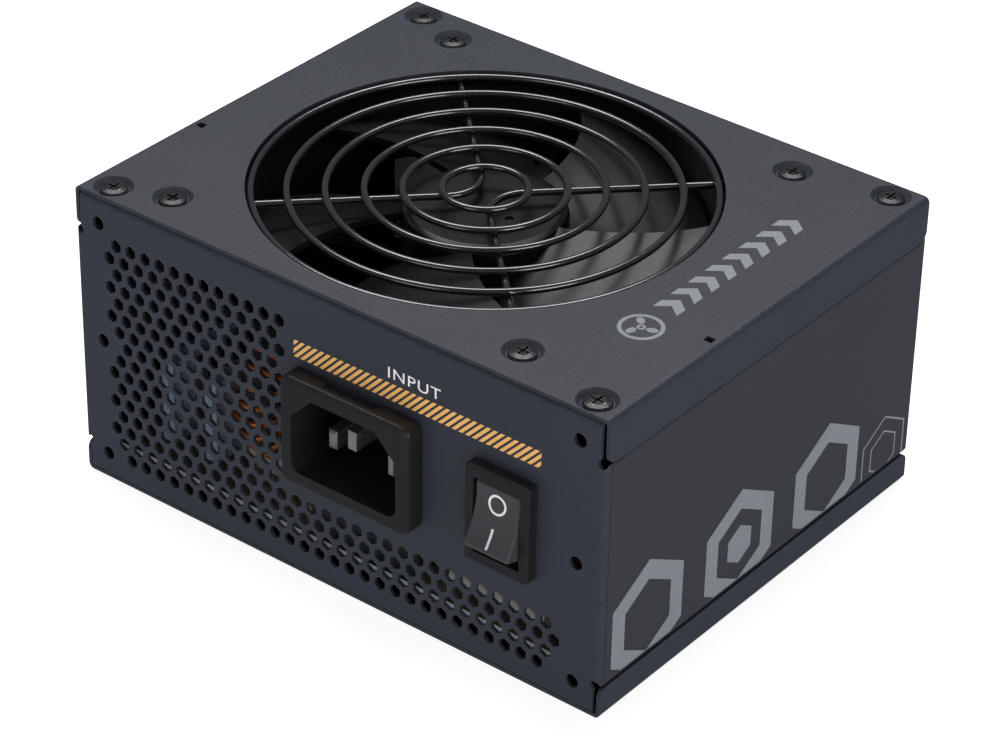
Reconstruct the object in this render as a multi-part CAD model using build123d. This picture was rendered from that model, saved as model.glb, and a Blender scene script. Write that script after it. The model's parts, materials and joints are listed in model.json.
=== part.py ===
"""SFX power supply unit: sheet-metal case, 92 mm fan, mains inlet, rocker switch and modular sockets.

Millimetres. +X is right when facing the mains side, +Y runs from the mains side to the socket side,
+Z is up through the fan. The origin is the centre of the base.
"""
import math
import os

from build123d import *

# ---- driving dimensions: case -------------------------------------------------------------
WIDTH = 125.0
DEPTH = 100.0
HEIGHT = 63.5
SHEET = 0.8
BEND_R = 1.2
HALF_W = WIDTH / 2
HALF_D = DEPTH / 2
WALL_LOW, WALL_HIGH = 7.3, 54.5       # side walls between the two covers' flanges
FLANGE_W = 8.0                        # inward flanges that take the cover screws
PANEL_HALF = 61.0                     # rear panel beside the covers' flanges
COVER_SETBACK = 0.5                   # cover edge behind the panel face
TOP_FLANGE_Z = 54.6
BASE_FLANGE_Z = 6.35
RETURN_W = 7.0                        # wall returns round the socket side
PANEL_SCREW_X, PANEL_SCREW_Z = 58.3, (13.0, 49.0)

# ---- driving dimensions: screws and dimples -----------------------------------------------
COVER_SCREW = (56.5, 45.4)
DIMPLE_R, DIMPLE_FLOOR_R, DIMPLE_DEPTH = 3.9, 3.05, 0.8
SCREW_R = 1.5
HEAD_R = 2.8
MOUNT_X, MOUNT_Z, MOUNT_HOLE_R = 56.5, (6.0, 31.75, 57.5), 1.4

# ---- driving dimensions: vents ------------------------------------------------------------
VENT_AF = 2.5
VENT_PITCH_X, VENT_PITCH_Z = 3.66, 3.168
VENT_TOP_Z = 54.13
VENT_ROWS, VENT_TALL_ROWS = 16, 12
VENT_LEFT = -52.14
VENT_STOP_TALL, VENT_STOP_LOW = -11.0, 52.5
VENT_SCREW_CLEAR = 5.2

# ---- driving dimensions: fan --------------------------------------------------------------
FAN_X = -4.2
FAN_SIZE, FAN_DEPTH, FAN_HOLES = 92.0, 15.0, 82.5
FAN_Z = 45.4
FAN_TOP = FAN_Z + FAN_DEPTH
DUCT_R, BLADE_TIP_R, HUB_R = 44.6, 43.9, 16.0
HUB_TOP, HUB_LOW = 58.8, 48.2
BLADES, BLADE_TURN = 5, 138.9
OPENING_R = 45.0
GUARD_RINGS = (8.1, 15.5, 22.7, 30.0, 37.2, 43.95)
GUARD_WIRE_R = 0.725
GUARD_LEG_Z, GUARD_RING_Z = 61.15, 62.5
SHAFT_R, BEARING_BORE_R = 1.0, 1.05

# ---- driving dimensions: inlet and switch -------------------------------------------------
INLET_X, INLET_Z = 6.7, 34.8
INLET_W, INLET_H, INLET_PROUD = 30.4, 23.0, 4.2
CAVITY_W, CAVITY_H = 24.8, 16.9
INLET_BACK = -34.5
SWITCH_X, SWITCH_Z = 40.6, 34.15
SWITCH_W, SWITCH_H, SWITCH_PROUD = 14.4, 20.5, 2.5
ROCKER_W, ROCKER_HALF, ROCKER_FRONT, ROCKER_DIP = 9.9, 6.4, 4.7, 1.4
ROCKER_TILT = 17.0
ROCKER_MOUTH = (5.3, 7.95)
ROCKER_PIVOT_Y = -49.5
LEVER_TILT = 6.63
LEVER_Y = -42.3
PINS = ((-0.2, 32.7, -49.1), (13.8, 32.7, -49.1), (6.8, 36.8, -52.0))   # x, z and tip y of each pin
TERMINAL_Z = (0.0, 5.2)

# ---- driving dimensions: boards -----------------------------------------------------------
BOARD_LOW, BOARD_TOP = 5.2, 6.8
BOARD_FRONT, BOARD_BACK, BOARD_HALF = -46.5, 36.0, 57.0
SOCKET_BOARD_Y = 37.0
SOCKET_PITCH = 4.2
SOCKET_HALF_H = 4.9
SOCKET_FACE = HALF_D + 0.3
MAIN_ROW_Z, LOWER_ROW_Z = 34.5, 18.0
STANDOFFS = ((-53.5, -36), (53.5, -36), (-53.5, 30), (53.5, 30))
EARTH_POST = (-14, -38.5)
HEATSINK_X = (-47.7, -36.7)
CHOKE_AT = (-27.5, -27.0, 23.6)
CHOKE_R, CHOKE_CORE_R, CHOKE_LOOP_R, CHOKE_WIRE_R = 10.5, 4.6, 5.2, 0.55
PFC_AT = (9.0, -12.5)

# ---- driving dimensions: labels -----------------------------------------------------------
LABEL_HALF, LABEL_LOW, LABEL_HIGH, LABEL_THICK = 48.6, 7.7, 54.2, 0.08

os.makedirs("parts", exist_ok=True)


def box(x0, x1, y0, y1, z0, z1):
    """A block between two opposite corners."""
    return Pos((x0 + x1) / 2, (y0 + y1) / 2, (z0 + z1) / 2) * Box(x1 - x0, y1 - y0, z1 - z0)


def rod(x, y, z0, z1, radius):
    """An upright cylinder."""
    return Pos(x, y, (z0 + z1) / 2) * Cylinder(radius, z1 - z0)


def rod_y(x, z, y0, y1, radius):
    """A cylinder along Y."""
    return Pos(x, (y0 + y1) / 2, z) * Rot(X=90) * Cylinder(radius, y1 - y0)


def rod_x(y, z, x0, x1, radius):
    """A cylinder along X."""
    return Pos((x0 + x1) / 2, y, z) * Rot(Y=90) * Cylinder(radius, x1 - x0)


def revolved(points, x=0.0, y=0.0):
    """A solid of revolution about a vertical line, from (radius, height) points."""
    face = make_face(Polyline(*[(r, 0, z) for r, z in points], close=True))
    return Pos(x, y, 0) * revolve(face, Axis.Z, 360)


def group(solids):
    """Separate solids that share one node."""
    return Compound(children=list(solids))


def wire(points, radii, radius):
    """A round wire along straight runs joined by tangent arcs."""
    path = FilletPolyline(*points, radius=radii)
    section = Plane(origin=path @ 0, z_dir=path % 0) * Circle(radius)
    return sweep(section, path=path)


def save(name, shape):
    export_step(shape, f"parts/{name}.step")
    print(name, len(shape.solids()), round(shape.volume, 1))


# ---- screws and the dimples that they sit in ----------------------------------------------
def cross_screw(length):
    """Pan head screw, head top at z = 0, pointing down, with a cross recess."""
    head_h = DIMPLE_DEPTH
    profile = [(0, 0), (HEAD_R * 0.55, 0), (HEAD_R * 0.88, -head_h * 0.3), (HEAD_R, -head_h * 0.65),
               (HEAD_R, -head_h), (SCREW_R, -head_h), (SCREW_R, -length + 0.6),
               (SCREW_R - 0.6, -length), (0, -length)]
    body = revolved(profile)
    slot_a = box(-1.55, 1.55, -0.28, 0.28, -0.55, 0.1)
    slot_b = box(-0.28, 0.28, -1.55, 1.55, -0.55, 0.1)
    return body - slot_a - slot_b


def dimple(x, y, top, up=1):
    """Pressed dimple for a screw head: (material to cut, dish to add), in the sheet under z = top."""
    rim = DIMPLE_R + 0.15
    points = [(SCREW_R + 0.1, -DIMPLE_DEPTH), (DIMPLE_FLOOR_R, -DIMPLE_DEPTH), (DIMPLE_R, 0), (rim, 0),
              (rim, -SHEET), (DIMPLE_R, -SHEET), (DIMPLE_FLOOR_R, -DIMPLE_DEPTH - SHEET),
              (SCREW_R + 0.1, -DIMPLE_DEPTH - SHEET)]
    dish = revolved([(r, top + up * z) for r, z in points], x, y)
    low, high = sorted((top + up * 0.1, top - up * (SHEET + 0.1)))
    return rod(x, y, low, high, rim), dish


def with_dimples(sheet, places, top, up=1):
    for x, y in places:
        cut, dish = dimple(x, y, top, up)
        sheet = sheet - cut + dish
    return sheet


def corners(half_x, half_y, x=0.0, y=0.0):
    return [(x + sx * half_x, y + sy * half_y) for sx in (-1, 1) for sy in (-1, 1)]


# ---- case ---------------------------------------------------------------------------------
def c_channel(half_width, y_face, inward, holes):
    """Panel with a flange folded inwards at top and bottom; inward is +1 or -1 along Y."""
    low, high = SHEET, HEIGHT - SHEET
    y_tip = y_face + inward * FLANGE_W
    outer = box(-half_width, half_width, *sorted((y_face, y_tip)), low, high)
    edges = [e for e in outer.edges().filter_by(Axis.X) if abs(e.center().Y - y_face) < 0.01]
    outer = fillet(edges, BEND_R)
    y_in = y_face + inward * SHEET
    inner = box(-half_width - 1, half_width + 1, *sorted((y_in, y_tip + inward)), low + SHEET, high - SHEET)
    edges = [e for e in inner.edges().filter_by(Axis.X) if abs(e.center().Y - y_in) < 0.01]
    inner = fillet(edges, BEND_R - SHEET)
    panel = outer - inner
    panel = with_dimples(panel, holes, high)
    panel = with_dimples(panel, holes, low, -1)
    panel -= rod(FAN_X, 0, high - 2, high + 1, OPENING_R + 0.6)
    return panel - [rod(x, y, high - 2, high + 1, DIMPLE_R + 0.7)
                    for x, y in corners(FAN_HOLES / 2, FAN_HOLES / 2, FAN_X)]


def vent_places():
    """Centres of the hexagonal vents, row by row from the top."""
    places = []
    for row in range(VENT_ROWS):
        z = VENT_TOP_Z - row * VENT_PITCH_Z
        x = VENT_LEFT - (row % 2) * VENT_PITCH_X / 2
        stop = VENT_STOP_TALL if row < VENT_TALL_ROWS else VENT_STOP_LOW
        while x < stop:
            if all(math.hypot(abs(x) - MOUNT_X, z - mz) > VENT_SCREW_CLEAR for mz in MOUNT_Z):
                places.append((x, z))
            x += VENT_PITCH_X
    return places


def make_rear_wrap():
    outer = box(-HALF_W, HALF_W, -HALF_D, HALF_D, WALL_LOW, WALL_HIGH)
    outer = fillet(outer.edges().filter_by(Axis.Z), BEND_R)
    inside = HALF_W - SHEET
    inner = box(-inside, inside, -HALF_D + SHEET, HALF_D - SHEET, WALL_LOW - 1, WALL_HIGH + 1)
    inner = fillet(inner.edges().filter_by(Axis.Z), BEND_R - SHEET)
    mouth = HALF_W - RETURN_W
    tube = outer - inner - box(-mouth, mouth, HALF_D - 2 * SHEET, HALF_D + 1, WALL_LOW - 1, WALL_HIGH + 1)
    rear_holes = [(sx * COVER_SCREW[0], -COVER_SCREW[1]) for sx in (-1, 1)]
    wrap = tube + c_channel(PANEL_HALF, -HALF_D, 1, rear_holes)
    for sx in (-1, 1):
        for z, up in ((WALL_HIGH, 1), (WALL_LOW, -1)):
            lip_end = HEIGHT - 2.0 if up > 0 else 2.0
            section = [(inside, z - up * 1.5), (inside - SHEET, z - up * 0.6), (inside - SHEET, lip_end),
                       (inside, lip_end), (inside, z + up * 0.05), (inside + 0.5, z), (inside, z)]
            face = make_face(Polyline(*[(sx * x, -46.3, zz) for x, zz in section], close=True))
            wrap += extrude(face, 92.6, dir=(0, 1, 0))
            relief = rod_y(sx * (PANEL_HALF + 0.35), z, -HALF_D - 1, -HALF_D + 2, 0.95)
            wrap -= relief
    vents = [Pos(x, -HALF_D + SHEET + 0.5, z) * Rot(X=90)
             * extrude(RegularPolygon(VENT_AF / math.sqrt(3), 6, rotation=30), SHEET + 1)
             for x, z in vent_places()]
    wrap -= vents
    wrap -= [rod_y(sx * MOUNT_X, z, -HALF_D - 1, -HALF_D + 2, MOUNT_HOLE_R)
             for sx in (-1, 1) for z in MOUNT_Z]
    wrap -= box(INLET_X - 13.9, INLET_X + 13.9, -HALF_D - 1, -HALF_D + 2, INLET_Z - 9.95, INLET_Z + 9.95)
    wrap -= box(SWITCH_X - 6.5, SWITCH_X + 6.5, -HALF_D - 1, -HALF_D + 2, SWITCH_Z - 9.85, SWITCH_Z + 9.85)
    wrap -= [rod_y(sx * PANEL_SCREW_X, z, HALF_D - 2, HALF_D + 1, 1.6) for sx in (-1, 1) for z in PANEL_SCREW_Z]
    return wrap


def cover(z_plate, z_flange_edge, holes, opening=None):
    """Flat cover with two side flanges; the plate's outer face is at z_plate."""
    up = 1 if z_plate > z_flange_edge else -1
    half_d = HALF_D - COVER_SETBACK
    low, high = sorted((z_plate, z_flange_edge))
    outer = box(-HALF_W, HALF_W, -half_d, half_d, low, high)
    top_edges = [e for e in outer.edges().filter_by(Axis.Y) if abs(e.center().Z - z_plate) < 0.01]
    outer = fillet(top_edges, BEND_R)
    inside = HALF_W - SHEET
    in_low, in_high = sorted((z_plate - up * SHEET, z_flange_edge - up * 2))
    inner = box(-inside, inside, -half_d - 1, half_d + 1, in_low, in_high)
    in_edges = [e for e in inner.edges().filter_by(Axis.Y) if abs(e.center().Z - (z_plate - up * SHEET)) < 0.01]
    inner = fillet(in_edges, BEND_R - SHEET)
    shell = outer - inner
    tips = [e for e in shell.edges().filter_by(Axis.X)
            if abs(e.center().Z - z_flange_edge) < 0.01 and abs(abs(e.center().Y) - half_d) < 0.01]
    shell = fillet(tips, 1.9)
    shell = with_dimples(shell, holes, z_plate, up)
    lances = [box(*sorted((sx * 59.0, sx * 60.8)), -18.3, -16.7, *sorted((z_plate + up, z_plate - up * 1.2)))
              for sx in (-1, 1)]
    return shell - lances


def make_top_cover():
    holes = corners(*COVER_SCREW) + corners(FAN_HOLES / 2, FAN_HOLES / 2, FAN_X)
    return cover(HEIGHT, TOP_FLANGE_Z, holes) - rod(FAN_X, 0, HEIGHT - 3, HEIGHT + 1, OPENING_R)


def make_bottom_cover():
    return cover(0.0, BASE_FLANGE_Z, corners(*COVER_SCREW))


def make_socket_panel():
    """Panel behind the wall returns, cut out for the sockets."""
    face = HALF_D - SHEET
    holes = [(sx * COVER_SCREW[0], COVER_SCREW[1]) for sx in (-1, 1)]
    panel = c_channel(PANEL_HALF - 0.3, face, -1, holes)
    for x0, x1, z in socket_blocks():
        panel -= box(x0 - 0.2, x1 + 0.2, face - 2, face + 2, z - SOCKET_HALF_H - 0.2, z + SOCKET_HALF_H + 0.2)
    panel -= [rod_y(sx * PANEL_SCREW_X, z, face - 2, face + 1, 1.25) for sx in (-1, 1) for z in PANEL_SCREW_Z]
    return panel


def make_cover_screws():
    return group([Pos(x, y, HEIGHT) * cross_screw(5.0) for x, y in corners(*COVER_SCREW)])


def make_base_screws():
    return group([Pos(x, y, 0) * Rot(X=180) * cross_screw(5.0) for x, y in corners(*COVER_SCREW)])


def make_fan_screws():
    return group([Pos(x, y, HEIGHT) * cross_screw(9.0)
                  for x, y in corners(FAN_HOLES / 2, FAN_HOLES / 2, FAN_X)])


def make_panel_screws():
    head = revolved([(0, 0.9), (1.7, 0.75), (2.4, 0.2), (2.4, 0), (1.25, 0), (1.25, -3.2), (0, -3.2)])
    head -= box(-1.2, 1.2, -0.25, 0.25, 0.45, 1.0) + box(-0.25, 0.25, -1.2, 1.2, 0.45, 1.0)
    return group([Pos(sx * PANEL_SCREW_X, HALF_D, z) * Rot(X=-90) * head
                  for sx in (-1, 1) for z in PANEL_SCREW_Z])


# ---- fan ----------------------------------------------------------------------------------
def make_fan_guard():
    """Six rings welded to two bent wires, whose ends are closed into eyelets."""
    eye = FAN_HOLES / 2
    eye_r = 2.6
    leg_end = eye - eye_r / math.sqrt(2)
    guard = None
    for sx in (-1, 1):
        legs = wire([(FAN_X + sx * leg_end, leg_end, GUARD_LEG_Z), (FAN_X, 0, GUARD_LEG_Z),
                     (FAN_X + sx * leg_end, -leg_end, GUARD_LEG_Z)], [7.2], GUARD_WIRE_R)
        guard = legs if guard is None else guard + legs
    rings = [Pos(FAN_X, 0, GUARD_RING_Z) * Torus(r, GUARD_WIRE_R) for r in GUARD_RINGS]
    eyelets = [Pos(x, y, GUARD_LEG_Z) * Torus(eye_r, GUARD_WIRE_R) for x, y in corners(eye, eye, FAN_X)]
    for piece in rings + eyelets:
        guard = guard + piece
    return guard


def make_fan_frame():
    half = FAN_SIZE / 2
    frame = Pos(FAN_X, 0, FAN_Z + FAN_DEPTH / 2) * Box(FAN_SIZE, FAN_SIZE, FAN_DEPTH)
    frame = fillet(frame.edges().filter_by(Axis.Z), 4.0)
    frame -= rod(FAN_X, 0, FAN_Z - 1, FAN_TOP + 1, DUCT_R)
    pocket = box(FAN_X - half - 1, FAN_X + half + 1, -half - 1, half + 1, FAN_Z + 3, FAN_TOP - 3)
    pocket -= rod(FAN_X, 0, FAN_Z, FAN_TOP, DUCT_R + 1.3)
    for x, y in corners(FAN_HOLES / 2, FAN_HOLES / 2, FAN_X):
        pocket -= rod(x, y, FAN_Z, FAN_TOP, 3.7)
    frame -= pocket
    frame -= [rod(x, y, FAN_Z - 1, FAN_TOP + 1, SCREW_R) for x, y in corners(FAN_HOLES / 2, FAN_HOLES / 2, FAN_X)]
    for turn in range(4):
        strut = Rot(Z=20 + 90 * turn) * box(14, DUCT_R + 0.7, -1.6, 1.6, 0, 1.8)
        frame += Pos(FAN_X, 0, FAN_Z) * strut
    cup = revolved([(0, 0), (17, 0), (17, 1.8), (3.4, 1.8), (3.4, 10.4), (2.25, 10.4), (2.25, 1.0), (0, 1.0)])
    return frame + Pos(FAN_X, 0, FAN_Z) * cup


def blade_section(radius, sweep_deg, half_chord, rise, camber, thick):
    """Thin cambered strip across one radius, high at its far end."""
    a = math.radians(sweep_deg)
    out = (math.cos(a), math.sin(a), 0)
    along = (-math.sin(a), math.cos(a), 0)
    plane = Plane(origin=(radius * out[0], radius * out[1], 0), x_dir=along, z_dir=out)
    t = thick / 2
    line = [ThreePointArc((-half_chord, -rise + t), (0, camber + t), (half_chord, rise + t)),
            Line((half_chord, rise + t), (half_chord, rise - t)),
            ThreePointArc((half_chord, rise - t), (0, camber - t), (-half_chord, -rise - t)),
            Line((-half_chord, -rise - t), (-half_chord, -rise + t))]
    return plane * make_face(line)


def make_fan_rotor():
    """Hub cup with its blades, one moulding."""
    z = HUB_TOP
    hub = revolved([(0, z), (HUB_R - 1.6, z), (HUB_R - 0.5, z - 0.45), (HUB_R, z - 1.6), (HUB_R, HUB_LOW),
                    (HUB_R - 1.2, HUB_LOW), (HUB_R - 1.2, z - 1.6), (2.2, z - 1.6), (2.2, z - 3.4),
                    (SHAFT_R, z - 3.4), (SHAFT_R, z - 1.0), (0, z - 1.0)])
    sections = [blade_section(13.5, -13.3, 7.6, 4.2, 0.9, 1.5), blade_section(29, 0, 15.5, 4.5, 1.4, 1.3),
                blade_section(46, 17.5, 22.0, 4.2, 1.6, 1.1)]
    blade = loft(sections)
    blade = blade & revolved([(HUB_R - 0.8, -9), (BLADE_TIP_R, -9), (BLADE_TIP_R, 9), (HUB_R - 0.8, 9)])
    mid = (HUB_LOW + HUB_TOP) / 2
    rotor = hub
    for n in range(BLADES):
        rotor += Pos(0, 0, mid) * Rot(Z=BLADE_TURN + 360 / BLADES * n) * blade
    rotor -= rod(6.5, -0.9, z - 0.5, z + 0.5, 0.9)
    return Pos(FAN_X, 0, 0) * rotor


def make_fan_stator():
    """Laminated core with four poles."""
    core = Cylinder(5.2, 4.0)
    for turn in range(4):
        core += Rot(Z=90 * turn) * box(4, 12, -1.3, 1.3, -2, 2)
    shoes = Cylinder(12.6, 4.0) - Cylinder(11.3, 5.0)
    for turn in range(4):
        shoes -= Rot(Z=45 + 90 * turn) * box(8, 14, -1.2, 1.2, -3, 3)
    return Pos(FAN_X, 0, 52.6) * (core + shoes - Cylinder(3.4, 6.0))


def make_stator_windings():
    arm = box(4, 12, -1.3, 1.3, -2, 2)
    coil = fillet(box(6.2, 10.6, -3.4, 3.4, -3.2, 3.2).edges().filter_by(Axis.X), 1.4) - arm
    return group([Pos(FAN_X, 0, 52.6) * Rot(Z=90 * turn) * coil for turn in range(4)])


def make_rotor_magnet():
    return Pos(FAN_X, 0, 0) * revolved([(13.3, 48.9), (HUB_R - 1.2, 48.9), (HUB_R - 1.2, 56.6), (13.3, 56.6)])


def make_fan_board():
    return Pos(FAN_X, 0, 0) * revolved([(3.4, 47.2), (12.8, 47.2), (12.8, 48.0), (3.4, 48.0)])


def make_fan_bearing():
    return Pos(FAN_X, 0, 0) * revolved([(BEARING_BORE_R, 46.4), (2.25, 46.4), (2.25, 55.2), (BEARING_BORE_R, 55.2)])


def make_fan_shaft():
    return Pos(FAN_X, 0, 0) * revolved([(0, 46.7), (0.7, 46.7), (SHAFT_R, 47.0), (SHAFT_R, HUB_TOP - 1.0),
                                        (0, HUB_TOP - 1.0)])


def fan_lead(side):
    """One lead from under the stator plate down to the fan plug; side is -1 or 1."""
    s = side * 0.75
    points = [(FAN_X - 11, s, 44.8), (FAN_X - 20, 2 + s, 43.6), (-35 + 0.7 * s, 10 + s, 41),
              (-42.4 + s, 20 + 0.7 * s, 37), (-44 + s, 28, 29), (-44 + s, 30, 21), (-44 + s, 30, 15.2)]
    return wire(points, [9, 9, 7, 7, 7], 0.55)


def make_fan_plug():
    return box(-47, -41, 27.4, 32.6, 10.2, 15.2)


def make_fan_header():
    shell = box(-48, -40, 26.6, 33.4, BOARD_TOP, 13.6) - box(-47.1, -40.9, 27.3, 34, 8.2, 14)
    return shell


# ---- mains inlet --------------------------------------------------------------------------
def cavity_face():
    """Mains inlet outline: two cut corners on top, rounded corners below."""
    w, h = CAVITY_W / 2, CAVITY_H / 2
    rect = Rectangle(CAVITY_W, CAVITY_H)
    rect = chamfer([v for v in rect.vertices() if v.Y > 0], 5.0)
    return fillet([v for v in rect.vertices() if v.Y < -h + 0.1 and abs(v.X) > w - 0.1], 2.2)


def make_inlet_housing():
    front = -HALF_D - INLET_PROUD
    bezel = box(INLET_X - INLET_W / 2, INLET_X + INLET_W / 2, front, -HALF_D,
                INLET_Z - INLET_H / 2, INLET_Z + INLET_H / 2)
    bezel = fillet(bezel.edges().filter_by(Axis.Y), 2.0)
    rim = [e for e in bezel.edges() if abs(e.center().Y - front) < 0.01]
    bezel = fillet(rim, 1.1)
    bezel -= box(0.5, 12.5, front + 1.6, -HALF_D + 1, INLET_Z + INLET_H / 2 - 0.7, INLET_Z + INLET_H)
    body = box(INLET_X - 13.8, INLET_X + 13.8, -HALF_D, INLET_BACK, INLET_Z - 9.85, INLET_Z + 9.75)
    plane = Plane(origin=(INLET_X, front - 0.5, INLET_Z), x_dir=(1, 0, 0), z_dir=(0, -1, 0))
    cavity = extrude(plane * cavity_face(), -(INLET_BACK - 1.6 - front + 0.5))
    housing = bezel + body - cavity
    for x, z, _ in PINS:
        housing -= box(x - 1, x + 1, INLET_BACK - 3, INLET_BACK + 1, z - 2, z + 2)
    return housing


def inlet_pin(x, z, tip):
    """Flat blade with a chamfered tip and a solder tag behind."""
    blade = box(x - 1, x + 1, tip, INLET_BACK + 0.6, z - 2, z + 2)
    tip_edges = [e for e in blade.edges() if abs(e.center().Y - tip) < 0.01]
    blade = chamfer(tip_edges, 0.45)
    tag = box(x - 0.4, x + 0.4, INLET_BACK + 0.6, -29, z - 1.6, z + 1.6)
    return blade + tag


# ---- rocker switch ------------------------------------------------------------------------
def make_switch_housing():
    front = -HALF_D - SWITCH_PROUD
    bezel = box(SWITCH_X - SWITCH_W / 2, SWITCH_X + SWITCH_W / 2, front, -HALF_D,
                SWITCH_Z - SWITCH_H / 2, SWITCH_Z + SWITCH_H / 2)
    bezel = fillet(bezel.edges().filter_by(Axis.Y), 0.8)
    bezel = fillet([e for e in bezel.edges() if abs(e.center().Y - front) < 0.01], 0.5)
    body = box(SWITCH_X - 6.4, SWITCH_X + 6.4, -HALF_D, -38, SWITCH_Z - 9.75, SWITCH_Z + 9.75)
    housing = bezel + body
    half_x, half_z = ROCKER_MOUTH
    housing -= box(SWITCH_X - half_x, SWITCH_X + half_x, front - 1, -39.2, SWITCH_Z - half_z, SWITCH_Z + half_z)
    housing -= rod_x(ROCKER_PIVOT_Y, SWITCH_Z, SWITCH_X - 6.0, SWITCH_X + 6.0, 1.25)
    for z in TERMINAL_Z:
        housing -= box(SWITCH_X - 2.4, SWITCH_X + 2.4, -39.5, -37, SWITCH_Z + z - 0.4, SWITCH_Z + z + 0.4)
    return housing


def at_rocker(shape):
    """Place a shape drawn about the pivot, off side pressed in."""
    return Pos(SWITCH_X, ROCKER_PIVOT_Y, SWITCH_Z) * Rot(X=-ROCKER_TILT) * shape


def make_rocker():
    f = ROCKER_FRONT
    heel = ROCKER_HALF + 0.1
    line = [ThreePointArc((0, -f, -ROCKER_HALF), (0, -f + ROCKER_DIP, 0), (0, -f, ROCKER_HALF)),
            Line((0, -f, ROCKER_HALF), (0, 1.2, heel)), Line((0, 1.2, heel), (0, 3.2, 2.4)),
            Line((0, 3.2, 2.4), (0, 3.2, -2.4)), Line((0, 3.2, -2.4), (0, 1.2, -heel)),
            Line((0, 1.2, -heel), (0, -f, -ROCKER_HALF))]
    side = make_face(line)
    body = extrude(side, ROCKER_W / 2, both=True, dir=(1, 0, 0))
    tips = [e for e in body.edges().filter_by(Axis.X) if e.center().Y < -f + 0.1]
    body = fillet(tips, 0.6)
    rims = [e for e in body.edges() if abs(abs(e.center().X) - ROCKER_W / 2) < 0.01 and e.center().Y < -2.6
            and e.length > 10]
    body = fillet(rims, 0.35)
    body += rod_x(0, 0, -ROCKER_W / 2 - 0.85, ROCKER_W / 2 + 0.85, 1.2)
    bore = Pos(0, 1.6, 0) * Rot(X=90) * Cylinder(1.0, 5.0)
    return at_rocker(body - bore)


def make_switch_plunger():
    tip = Pos(0, 5.8, 0) * Sphere(0.85)
    stem = Pos(0, 4.2, 0) * Rot(X=90) * Cylinder(0.85, 3.2)
    return at_rocker(tip + stem)


def make_plunger_spring():
    """Small coil spring between the rocker's bore and the plunger."""
    path = Helix(pitch=0.62, height=3.1, radius=0.65)
    section = Plane(origin=path @ 0, z_dir=path % 0) * Circle(0.13)
    coil = sweep(section, path=path)
    return at_rocker(Pos(0, -0.75, 0) * Rot(X=-90) * coil)


def make_contact_lever():
    """See-saw lever that the plunger tips from side to side."""
    plate = fillet(Box(3.0, 0.7, 12.4).edges().filter_by(Axis.Y), 0.6)
    lever = plate + rod_x(0, 0, -2.3, 2.3, 0.5)
    return Pos(SWITCH_X, LEVER_Y, SWITCH_Z) * Rot(X=LEVER_TILT) * lever


def make_switch_terminals():
    x, z = SWITCH_X, SWITCH_Z
    base = box(x - 2.4, x + 2.4, -40.2, -39.2, z - 1.4, z + 1.4)
    tab = box(x - 2.4, x + 2.4, -39.2, -32, z - 0.4, z + 0.4)
    common = base + tab
    for sx in (-1, 1):
        ear = box(*sorted((x + sx * 1.75, x + sx * 2.4)), LEVER_Y - 1.0, -40.2, z - 1.0, z + 1.0)
        common += ear
    common -= rod_x(LEVER_Y, z, x - 3, x + 3, 0.55)
    line_z = z + TERMINAL_Z[1]
    line = box(x - 2.4, x + 2.4, -39.2, -32, line_z - 0.4, line_z + 0.4) + rod_y(x, line_z, -41.15, -39.2, 1.2)
    return group([common, line])


# ---- boards and what stands on them -------------------------------------------------------


def make_main_board():
    board = box(-BOARD_HALF, BOARD_HALF, BOARD_FRONT, BOARD_BACK, BOARD_LOW, BOARD_TOP)
    return board - [rod(x, y, BOARD_LOW - 1, BOARD_TOP + 1, SCREW_R) for x, y in (*STANDOFFS, EARTH_POST)]


def make_insulation_sheet():
    sheet = box(-BOARD_HALF, BOARD_HALF, BOARD_FRONT + 7, BOARD_BACK, 1.6, 1.9)
    return sheet - [rod(x, y, 1, 3, 3.2) for x, y in (*STANDOFFS, EARTH_POST)]


def make_standoffs():
    posts = []
    for x, y in (*STANDOFFS, EARTH_POST):
        post = Pos(x, y, SHEET) * extrude(RegularPolygon(2.7, 6), BOARD_LOW - SHEET)
        posts.append(post - rod(x, y, BOARD_LOW - 3, BOARD_LOW + 1, 1.3))
    return group(posts)


def make_board_screws():
    def screw(x, y, seat):
        body = revolved([(0, seat + 1.6), (1.6, seat + 1.5), (2.7, seat + 0.7), (2.7, seat), (1.3, seat),
                         (1.3, BOARD_LOW - 2.6), (0, BOARD_LOW - 2.6)], x, y)
        return body - box(x - 1.3, x + 1.3, y - 0.25, y + 0.25, seat + 1.0, seat + 2)
    return group([screw(x, y, BOARD_TOP) for x, y in STANDOFFS] + [screw(*EARTH_POST, BOARD_TOP + SHEET)])


def make_choke_core():
    return Pos(*CHOKE_AT) * Rot(Y=90) * Torus(CHOKE_R, CHOKE_CORE_R)


def make_choke_winding():
    loop = Rot(X=90) * Torus(CHOKE_LOOP_R, CHOKE_WIRE_R)
    count = 26
    return group([Pos(*CHOKE_AT) * Rot(Y=90) * Rot(Z=360 / count * n) * Pos(CHOKE_R, 0, 0) * loop
                  for n in range(count)])


def make_choke_base():
    x, y, z = CHOKE_AT
    cradle = box(x - 5, x + 5, y - 9, y + 9, BOARD_TOP, z - 8)
    return cradle - Pos(x, y, z) * Rot(Y=90) * Torus(CHOKE_R, CHOKE_LOOP_R + CHOKE_WIRE_R + 0.1)


def make_line_capacitors():
    """Boxed capacitor under the inlet and a disc capacitor beside the switch."""
    block = box(-10, 16, -44, -33, BOARD_TOP, 21.8)
    block = fillet(block.edges().filter_by(Axis.Z) + block.faces().sort_by(Axis.Z)[-1].edges(), 0.8)
    disc = rod_y(52, 24.5, -45.5, -41.5, 5.0)
    disc = fillet(disc.edges().filter_by(GeomType.CIRCLE), 1.2)
    for x in (49.5, 54.5):
        disc += rod(x, -43.5, BOARD_TOP, 22, 0.35)
    return group([block, disc])


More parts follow.
